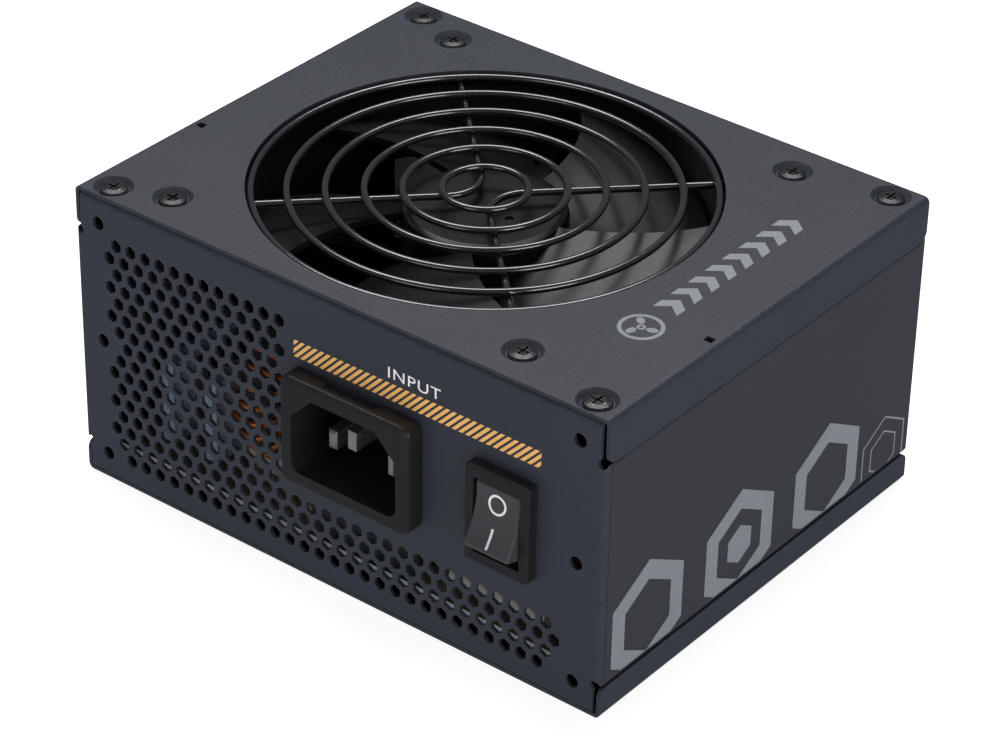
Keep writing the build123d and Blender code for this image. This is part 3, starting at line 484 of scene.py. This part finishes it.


# For each: its pieces, then colour, roughness, grains per metre, grain depth in metres, and where
# they differ from the usual, edge wear with its painted highlight, dust and gloss.
MOULDED = {
    "fan_black": (("fan_frame", "fan_rotor"),
                  ((0.009, 0.009, 0.012), 0.34, 2800.0, 0.000008, 0.25, 0.02, 0.28)),
    "nylon_black": (("inlet_housing", "switch_housing", "main_sockets", "drive_sockets",
                     "processor_sockets"),
                    ((0.015, 0.015, 0.017), 0.42, 2600.0, 0.00004, 1.0, 0.03)),
    # Rocker grey lifted above its black: a painted reflection of the floor, hidden from glossy
    # rays.
    "rocker_black_painted_sheen": (("switch_rocker",), ((0.062, 0.063, 0.070), 0.36, 2600.0, 0.00004)),
    "natural_nylon": (("fan_plug", "fan_header"), ((0.74, 0.70, 0.58), 0.45, 1500.0, 0.00002)),
    "epoxy_black": (("bridge_rectifier", "power_transistors"),
                    ((0.022, 0.022, 0.024), 0.55, 1800.0, 0.00003)),
    "film_white": (("insulation_sheet", "line_choke_base"),
                   ((0.66, 0.65, 0.6), 0.4, 900.0, 0.00001)),
    "polyester_tape": (("transformer_winding", "standby_transformer"),
                       ((0.62, 0.47, 0.06), 0.3, 600.0, 0.00003, 0.2)),
    "bonded_magnet": (("rotor_magnet",), ((0.05, 0.045, 0.042), 0.6, 1500.0, 0.00004)),
    "ground_ferrite": (("line_choke_core", "boost_choke_core", "transformer_core"),
                       ((0.045, 0.045, 0.048), 0.62, 2200.0, 0.00006)),
    "fuse_ceramic": (("mains_fuse",), ((0.62, 0.60, 0.55), 0.3, 700.0, 0.00001)),
    # The choke winding is near black as painted shade, dark as the shaded inside of the case.
    "winding_dark_as_painted_shade": (("boost_choke_winding",), ((0.05, 0.03, 0.02), 0.4, 900.0, 0.00003)),
}
for moulded_name, (moulded_pieces, moulded_values) in MOULDED.items():
    coat(moulded_pieces, make_moulded(moulded_name, *moulded_values))
print("moulded finishes", list(MOULDED))

# %% [markdown]
# ### The mains filter's capacitors
# The filter's two capacitors share one piece: a large dark grey box, and a small amber disc near
# the label side. Two materials on one piece would need a choice for each face. One material that
# reads the x coordinate is simpler here, because the disc lies well to one side of the box.

# %% Capacitor resin
DISC_START, DISC_FADE = 0.044, 0.001
BOX_GREY, DISC_AMBER = (0.055, 0.058, 0.062, 1), (0.95, 0.42, 0.05, 1)


def make_capacitor_resin():
    material, tree, shader, grain, tone = start_finish("capacitor_resin", 900.0, 0.5, 70.0, 0.2)
    across = add(tree, "ShaderNodeSeparateXYZ", Vector=object_place(tree)).outputs["X"]
    is_disc = remap(tree, across, DISC_START, DISC_START + DISC_FADE)
    feed(tree, shader, Base_Color=scaled(tree, blend(tree, is_disc, BOX_GREY, DISC_AMBER), tone),
         Roughness=by_grain(tree, grain, 0.34, 0.46))
    bumped(tree, shader, grain["Height"], 0.00002, 0.4)
    return material


coat(("line_capacitors",), make_capacitor_resin())
print("filter capacitors")

# %% [markdown]
# ## Metals
# The pins are nickel plated, the contacts are stamped brass, and the small hardware is bright
# steel. The heatsinks are aluminium with a thin anodised skin, which hides most of the metal. All
# carry fine lines from rolling or stamping. An image texture could give those, but a noise
# stretched along one axis does so at any scale.

# %% Metals
ROUGH_LOWER, ROUGH_HIGHER = 0.08, 0.1


def make_metal(name, colour, rough, stretch, tarnish=(0.2, 0.16, 0.1, 1), wear=0.3, metallic=1.0):
    material, tree, shader = new_material(name)
    place = object_place(tree)
    turned = add(tree, "ShaderNodeMapping", Vector=place, Scale=stretch).outputs["Vector"]
    lines = add(tree, "ShaderNodeTexNoise", Vector=turned, Scale=1000.0, Detail=3.0).outputs["Fac"]
    tone = place_group(tree, tone_group, Scale=80.0, Spread=0.3)["Factor"]
    stain = add(tree, "ShaderNodeTexNoise", Vector=place, Scale=240.0, Detail=5.0).outputs["Fac"]
    stained = remap(tree, stain, 0.55, 0.8, 0.0, wear)
    feed(tree, shader, Base_Color=blend(tree, stained, scaled(tree, colour, tone), tarnish),
         Roughness=remap(tree, lines, GRAIN_DARK, GRAIN_LIGHT, rough - ROUGH_LOWER,
                         rough + ROUGH_HIGHER), Metallic=metallic)
    bumped(tree, shader, lines, 0.00002, 0.4)
    return material


# For each: its pieces, then colour, roughness, the stretch of its lines, and where they differ from
# the usual, the stain's colour, its strength and how metallic the whole is.
METALS = {
    "nickel": (("inlet_line_pins", "inlet_earth_pin", "socket_pins"),
               ((0.92, 0.92, 0.90), 0.24, (1, 0.1, 1), (0.6, 0.6, 0.58, 1), 0.15, 0.96)),
    "brass": (("switch_terminals", "contact_lever", "switch_plunger", "earth_lug", "fan_bearing",
               "standoffs"), ((0.78, 0.56, 0.24), 0.28, (1, 1, 0.2))),
    "bright_steel": (("plunger_spring", "fan_shaft", "board_screws", "fan_stator"),
                     ((0.60, 0.60, 0.60), 0.25, (1, 1, 0.3))),
    "anodised_aluminium": (("heatsinks",), ((0.46, 0.62, 0.78), 0.35, (1, 0.05, 1),
                                            (0.4, 0.48, 0.55, 1), 0.3, 0.25)),
}
for metal_name, (metal_pieces, metal_values) in METALS.items():
    coat(metal_pieces, make_metal(metal_name, *metal_values))
print("metals", list(METALS))

# %% [markdown]
# ## Copper windings
# The wire is copper under a clear orange enamel: metal below and gloss on top. A glass shell round
# each turn would be slow to render. A clear coat over a half metallic base gives the same wet
# highlight.

# %% Enamelled copper
ENAMEL_ORANGE = (0.93, 0.27, 0.05)


def make_enamelled_copper():
    material, tree, shader, grain, tone = start_finish("enamelled_copper", 500.0, 0.4, 160.0, 0.5)
    feed(tree, shader, Base_Color=scaled(tree, ENAMEL_ORANGE, tone), Metallic=0.55,
         Roughness=by_grain(tree, grain, 0.24, 0.4), Coat_Weight=0.7, Coat_Roughness=0.12)
    bumped(tree, shader, grain["Height"], 0.00002, 0.3)
    return material


coat(("line_choke_winding", "stator_windings"), make_enamelled_copper())
print("copper windings")

# %% [markdown]
# ## Circuit boards
# A circuit board is glass cloth in resin. The cloth shows as a fine square weave through the green
# mask. The cut edge that faces the lower vents is painted near white: partly pale resin and glass,
# partly a painted highlight for the glints it gives there. A checker of tiny squares stands in for
# the weave, and the surface's direction tells that edge from the face.

# %% Circuit board
MASK_GREENS = (0.10, 0.13, 0.05, 1), (0.16, 0.20, 0.09, 1)
EDGE_RESIN_AND_HIGHLIGHT = (0.74, 0.77, 0.80, 1), (0.90, 0.92, 0.95, 1)
WEAVE_THROUGH_MASK = 0.25


def make_board():
    material, tree, shader = new_material("circuit_board")
    cloth = add(tree, "ShaderNodeTexChecker", Vector=object_place(tree),
                Scale=1600.0).outputs["Fac"]
    tone = place_group(tree, tone_group, Scale=60.0, Spread=0.4)["Factor"]
    # Edges facing the rear vents get a painted highlight on top of their pale resin.
    is_highlit_edge = remap(tree, facing(tree, "Y"), -0.5, -0.9)
    weave = remap(tree, cloth, 0.0, 1.0, 0.0, WEAVE_THROUGH_MASK)
    both = blend(tree, is_highlit_edge, blend(tree, weave, *MASK_GREENS), blend(tree, cloth, *EDGE_RESIN_AND_HIGHLIGHT))
    feed(tree, shader, Base_Color=scaled(tree, both, tone),
         Roughness=remap(tree, is_highlit_edge, 0.0, 1.0, 0.32, 0.7))
    bumped(tree, shader, cloth, 0.00002, 0.3)
    return material


coat(("main_board", "socket_board", "rectifier_board", "fan_board"), make_board())
print("circuit boards")

# %% [markdown]
# ## Capacitor cans
# The cans wear a dark shrink sleeve under a bare aluminium top. The sleeve could be a second shell,
# but it is a tenth of a millimetre thick. The same test of direction colours the top instead.

# %% Capacitor sleeve
SLEEVE_BLUE, CAN_TOP = (0.018, 0.022, 0.05), (0.66, 0.66, 0.67, 1)


def make_sleeve():
    material, tree, shader, grain, tone = start_finish("capacitor_sleeve", 800.0, 0.5, 50.0, 0.3)
    is_top = remap(tree, facing(tree, "Z"), 0.55, 0.75)
    feed(tree, shader, Base_Color=blend(tree, is_top, scaled(tree, SLEEVE_BLUE, tone), CAN_TOP),
         Metallic=is_top, Roughness=by_grain(tree, grain, 0.25, 0.42))
    bumped(tree, shader, grain["Height"], 0.00003, 0.4)
    return material


coat(("bulk_capacitor", "output_capacitors"), make_sleeve())
print("capacitor cans")

# %% [markdown]
# ## Leads
# The leads are wires in soft plastic with a faint sheen. Each has its own colour, so a short
# function makes one insulation for each entry of a table.

# %% Lead insulation
LEAD_COLOURS = {"fan_lead_red": (0.62, 0.015, 0.03), "fan_lead_black": (0.015, 0.015, 0.016),
                "mains_wires": (0.16, 0.06, 0.03), "earth_wire": (0.10, 0.34, 0.05)}


def make_insulation(name, colour):
    material, tree, shader, grain, tone = start_finish(name, 1200.0, 0.5, 120.0, 0.25)
    feed(tree, shader, Base_Color=scaled(tree, colour, tone),
         Roughness=by_grain(tree, grain, 0.36, 0.5))
    bumped(tree, shader, grain["Height"], 0.00003, 0.3)
    return material


for lead, lead_colour in LEAD_COLOURS.items():
    coat((lead,), make_insulation("insulation_" + lead, lead_colour))
print("leads", list(LEAD_COLOURS))

# %% [markdown]
# ## Screen-printed marks
# Ink is printed through a mesh in a layer a few hundredths of a millimetre thick. Each mark could
# be painted inside the coat's material, but then its edge would only be as sharp as the image that
# it is stored in. Here the marks are real, very thin solids laid on the surface: a flat outline is
# drawn on a plane and extruded by the thickness of the ink.

# %% Ink
INK = 0.03 * MM


def make_ink(name, colour, rough=0.5):
    material, tree, shader, grain, tone = start_finish(name, 3200.0, 0.5, 220.0, 0.12)
    mottled = sums(tree, "MULTIPLY", tone, by_grain(tree, grain, 0.9, 1.06))
    feed(tree, shader, Base_Color=scaled(tree, colour, mottled),
         Roughness=by_grain(tree, grain, rough - 0.05, rough + 0.08))
    bumped(tree, shader, grain["Height"], 0.00002, 0.5)
    return material


amber_ink = make_ink("amber_ink", (0.98, 0.52, 0.14))
white_ink = make_ink("white_ink", (0.92, 0.93, 0.95))
grey_ink = make_ink("grey_ink", (0.33, 0.35, 0.37))
side_ink = make_ink("side_ink", (0.235, 0.262, 0.285), 0.42)
print("ink", round(INK / MM, 3), "mm thick")

# %% [markdown]
# ### From a flat outline to a thin solid
# Every mark is drawn flat, in millimetres. Three planes carry it to the mains side, the cover and
# the label side, and each plane's height comes from the piece that it lies on. Shared helpers draw
# outlines and rings, cut them off, thicken them and make the object.

# %% Helpers for marks
def print_plane(origin, across, upward):
    """Matrix from flat millimetres (x across, y upward) to the object's frame."""
    across, upward = Vector(across), Vector(upward)
    turn = Matrix((across, upward, across.cross(upward))).transposed().to_4x4()
    return Matrix.Translation(Vector(origin)) @ turn @ Matrix.Scale(MM, 4)


def add_outline(bm, points):
    """One flat face from its corners."""
    bm.faces.new([bm.verts.new((x, y, 0)) for x, y in points])


def add_ring(bm, sides, outer, inner, centre):
    """A flat ring with straight or, with many sides, round edges."""
    edges = []
    for radius in (outer, inner):
        made = bmesh.ops.create_circle(bm, segments=sides, radius=radius,
                                       matrix=Matrix.Translation((*centre, 0)))
        edges += list({e for v in made["verts"] for e in v.link_edges})
    bmesh.ops.bridge_loops(bm, edges=edges)


def trim(bm, point, normal):
    """Cuts away everything on the normal's side of a plane."""
    geometry = bm.verts[:] + bm.edges[:] + bm.faces[:]
    bmesh.ops.bisect_plane(bm, geom=geometry, plane_co=point, plane_no=normal, clear_outer=True)


def thicken(bm, depth):
    """Extrudes all faces by a depth in millimetres."""
    walls = bmesh.ops.extrude_face_region(bm, geom=bm.faces[:])
    moved = [g for g in walls["geom"] if isinstance(g, bmesh.types.BMVert)]
    bmesh.ops.translate(bm, verts=moved, vec=(0, 0, depth))


def finish_piece(name, bm, material, body):
    """Turns a bmesh into an object that rides on a body."""
    bmesh.ops.recalc_face_normals(bm, faces=bm.faces)
    mesh = bpy.data.meshes.new(name)
    bm.to_mesh(mesh)
    bm.free()
    mesh.shade_flat()
    piece = bpy.data.objects.new(name, mesh)
    bpy.context.scene.collection.objects.link(piece)
    mesh.materials.append(material)
    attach(piece, body)
    print(name, len(mesh.polygons), "faces")


def lay_ink(name, bm, plane, material):
    """Thickens flat faces into ink and lays them on a plane of the case."""
    thicken(bm, INK / MM)
    bmesh.ops.transform(bm, matrix=plane, verts=bm.verts)
    finish_piece(name, bm, material, "case")


REAR = print_plane((0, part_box("rear_wrap")[0].y, 0), (1, 0, 0), (0, 0, 1))
TOP = print_plane((0, 0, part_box("top_cover")[1].z), (0, 1, 0), (-1, 0, 0))
SIDE = print_plane((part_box("side_label")[1].x, 0, 0), (0, 1, 0), (0, 0, 1))
FAR_SIDE = print_plane((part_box("rating_label")[0].x, 0, 0), (0, -1, 0), (0, 0, 1))
print("print planes ready")

# %% [markdown]
# ### The hatched bar
# A row of slanted amber stripes marks the mains side. An array modifier could repeat a stripe, but
# the two ends of the bar are cut square. So one stripe is drawn as a parallelogram, a loop steps it
# along, past both ends, and two cuts square them off.

# %% Hatched bar
BAR_LEFT, BAR_RIGHT, BAR_LOW, BAR_HIGH = -8.3, 48.35, 48.05, 51.62
STRIPE_PITCH, STRIPE_WIDTH, STRIPE_LEAN = 1.53, 0.88, 3.4
STRIPES_BEFORE = 3


def make_hatched_bar():
    bm = bmesh.new()
    x = BAR_LEFT - STRIPES_BEFORE * STRIPE_PITCH
    while x < BAR_RIGHT:
        add_outline(bm, [(x, BAR_LOW), (x + STRIPE_WIDTH, BAR_LOW),
                         (x + STRIPE_WIDTH + STRIPE_LEAN, BAR_HIGH), (x + STRIPE_LEAN, BAR_HIGH)])
        x += STRIPE_PITCH
    trim(bm, (BAR_LEFT, 0, 0), (-1, 0, 0))
    trim(bm, (BAR_RIGHT, 0, 0), (1, 0, 0))
    lay_ink("hatched_bar", bm, REAR, amber_ink)


make_hatched_bar()

# %% [markdown]
# ### The word over the inlet
# A plain word names the inlet. Drawing letters by hand would be slow, so Blender's own text object
# does it. Its outline becomes a mesh first, and the mesh is then stretched to the width and height
# that the print has.

# %% Inlet word
WORD_LEFT, WORD_LOW, WORD_RIGHT, WORD_HIGH = 13.9, 52.65, 25.9, 54.9
LETTER_SPACING = 1.12


def text_outline(words):
    """A bmesh of the words' flat outline."""
    curve = bpy.data.curves.new("inlet_word_outline", "FONT")
    curve.body = words
    curve.space_character = LETTER_SPACING
    curve.resolution_u = 6
    text = bpy.data.objects.new("inlet_word_outline", curve)
    bpy.context.scene.collection.objects.link(text)
    bpy.context.view_layer.update()
    flat = bpy.data.meshes.new_from_object(text)
    bpy.data.objects.remove(text)
    bm = bmesh.new()
    bm.from_mesh(flat)
    bpy.data.meshes.remove(flat)
    return bm


def make_inlet_word():
    bm = text_outline("INPUT")
    xs, ys = [v.co.x for v in bm.verts], [v.co.y for v in bm.verts]
    stretch = ((WORD_RIGHT - WORD_LEFT) / (max(xs) - min(xs)),
               (WORD_HIGH - WORD_LOW) / (max(ys) - min(ys)), 1)
    bmesh.ops.translate(bm, verts=bm.verts, vec=(-min(xs), -min(ys), 0))
    bmesh.ops.scale(bm, verts=bm.verts, vec=stretch)
    bmesh.ops.translate(bm, verts=bm.verts, vec=(WORD_LEFT, WORD_LOW, 0))
    bmesh.ops.remove_doubles(bm, verts=bm.verts, dist=0.001)
    lay_ink("inlet_word", bm, REAR, white_ink)


make_inlet_word()

# %% [markdown]
# ### The mark beside the fan
# The cover carries a plain mark: a small fan in a ring, and a run of arrowheads that show the air
# moving. The ring is two circles bridged together. Each blade could be traced as a curve, but at
# this size a circle pulled into an ellipse reads the same.

# %% Fan mark
MARK_LINE = 48.3
EMBLEM_CENTRE, EMBLEM_R, EMBLEM_STROKE = -21.9, 4.3, 0.8
HUB_OUTER, HUB_INNER = 0.85, 0.35
MARK_BLADES, BLADE_START, BLADE_SKEW = 3, math.radians(30), math.radians(20)
BLADE_OUT, BLADE_ASIDE, BLADE_LONG, BLADE_WIDE = 2.15, 0.35, 1.15, 0.75
ARROWS, ARROW_START, ARROW_PITCH = 8, -14.9, 5.25
ARROW_LENGTH, ARROW_HALF = 4.7, 2.65
ARROW_TAIL = ARROW_LENGTH * 0.45


def add_mark_blades(bm, middle):
    for count in range(MARK_BLADES):
        spin = Matrix.Rotation(BLADE_START + math.tau * count / MARK_BLADES, 4, "Z")
        shape = middle @ spin @ Matrix.Translation((BLADE_OUT, BLADE_ASIDE, 0)) \
            @ Matrix.Rotation(BLADE_SKEW, 4, "Z") @ Matrix.Diagonal((BLADE_LONG, BLADE_WIDE, 1, 1))
        bmesh.ops.create_circle(bm, cap_ends=True, segments=20, radius=1.0, matrix=shape)


def make_fan_mark():
    bm = bmesh.new()
    centre = (EMBLEM_CENTRE, -MARK_LINE)
    add_ring(bm, 40, EMBLEM_R, EMBLEM_R - EMBLEM_STROKE, centre)
    add_ring(bm, 16, HUB_OUTER, HUB_INNER, centre)
    add_mark_blades(bm, Matrix.Translation((*centre, 0)))
    for count in range(ARROWS):
        x, y = ARROW_START + ARROW_PITCH * count, -MARK_LINE
        neck = x + ARROW_LENGTH - ARROW_TAIL
        add_outline(bm, [(x, y - ARROW_HALF), (neck, y - ARROW_HALF), (x + ARROW_LENGTH, y),
                         (neck, y + ARROW_HALF), (x, y + ARROW_HALF), (x + ARROW_TAIL, y)])
    lay_ink("fan_mark", bm, TOP, grey_ink)


make_fan_mark()

# %% [markdown]
# ### The pattern on the side label
# Large hexagons repeat the shape of the vents. They run off the lower edge of the film, so a cut
# trims them there. A smaller pair is drawn only in outline. A ring with six sides is a hexagon, so
# the ring helper draws them all.

# %% Side pattern
FILM_LOW = 7.8
HEXAGON_Y, HEXAGON_Z = (-36.2, -7.9, 20.4), 15.7
HEXAGON_R, HEXAGON_STROKE, CORE_R = 12.2, 4.3, 4.2
OUTLINE_CENTRE, OUTLINE_RINGS = (40.2, 11.2), ((8.3, 7.85), (5.0, 4.6))


def make_side_pattern():
    bm = bmesh.new()
    for y in HEXAGON_Y:
        add_ring(bm, 6, HEXAGON_R, HEXAGON_R - HEXAGON_STROKE, (y, HEXAGON_Z))
    bmesh.ops.create_circle(bm, cap_ends=True, segments=6, radius=CORE_R,
                            matrix=Matrix.Translation((HEXAGON_Y[1], HEXAGON_Z, 0)))
    trim(bm, (0, FILM_LOW, 0), (0, -1, 0))
    lay_ink("side_pattern", bm, SIDE, side_ink)


def make_side_outline():
    bm = bmesh.new()
    for outer, inner in OUTLINE_RINGS:
        add_ring(bm, 6, outer, inner, OUTLINE_CENTRE)
    trim(bm, (0, FILM_LOW, 0), (0, -1, 0))
    lay_ink("side_outline", bm, SIDE, side_ink)


make_side_pattern()
make_side_outline()

# %% [markdown]
# ### The blank table on the other side
# The rating label faces the far side. Its values are left out, so only the table's rules are
# printed. Each rule could be a thin box, but then they would overlap where they cross. A grid whose
# cells are inset and then removed leaves just the lines, in one piece.

# %% Rating table
TABLE_Z, TABLE_HALF_WIDTH, TABLE_HALF_HEIGHT = 31, 42, 15
TABLE_COLUMNS, TABLE_ROWS, RULE_HALF = 6, 5, 0.2


def make_rating_table():
    bm = bmesh.new()
    place = Matrix.Translation((0, TABLE_Z, 0)) \
        @ Matrix.Diagonal((TABLE_HALF_WIDTH, TABLE_HALF_HEIGHT, 1, 1))
    bmesh.ops.create_grid(bm, x_segments=TABLE_COLUMNS, y_segments=TABLE_ROWS, size=1.0,
                          matrix=place)
    cells = bm.faces[:]
    bmesh.ops.inset_individual(bm, faces=cells, thickness=RULE_HALF)
    bmesh.ops.delete(bm, geom=cells, context="FACES")
    lay_ink("rating_table", bm, FAR_SIDE, side_ink)


make_rating_table()

# %% [markdown]
# ### The marks on the rocker
# A ring stands for off and a bar for on. The rocker's face is a shallow hollow, and a Shrinkwrap
# modifier could press the marks onto it. The hollow is a plain arc, though, so each point is simply
# moved to the depth that the arc has at its height. The whole is then tilted with the rocker about
# its pivot, and it rides on the rocker.

# %% Rocker marks
ROCKER_FRONT, ROCKER_HALF, ROCKER_DIP, ROCKER_REST = 4.7, 6.4, 1.4, math.radians(-17.0)
ROCKER_INK = 2 * INK
OFF_OUTER, OFF_INNER, OFF_HEIGHT = 2.0, 1.55, 2.95
ON_HALF_WIDTH, ON_HALF_LENGTH, ON_HEIGHT = 0.24, 1.9, -3.55
rocker_joint = next(j for j in frame["joints"] if j["name"] == "rocker_tilt")


def make_rocker_marks():
    bm = bmesh.new()
    add_ring(bm, 40, OFF_OUTER, OFF_INNER, (0, OFF_HEIGHT))
    bar = Matrix.Translation((0, ON_HEIGHT, 0)) \
        @ Matrix.Diagonal((ON_HALF_WIDTH, ON_HALF_LENGTH, 1, 1))
    bmesh.ops.create_grid(bm, x_segments=1, y_segments=6, size=1.0, matrix=bar)
    thicken(bm, ROCKER_INK / MM)
    hollow_r = (ROCKER_HALF ** 2 + ROCKER_DIP ** 2) / (2 * ROCKER_DIP)
    for v in bm.verts:
        depth = ROCKER_FRONT - ROCKER_DIP + hollow_r - math.sqrt(hollow_r ** 2 - v.co.y ** 2)
        v.co = Vector((v.co.x, -depth - v.co.z, v.co.y))
    place = Matrix.Translation(Vector(rocker_joint["pos_m"])) \
        @ Matrix.Rotation(ROCKER_REST, 4, "X") @ Matrix.Scale(MM, 4)
    bmesh.ops.transform(bm, matrix=place, verts=bm.verts)
    finish_piece("rocker_marks", bm, white_ink, "rocker")


make_rocker_marks()
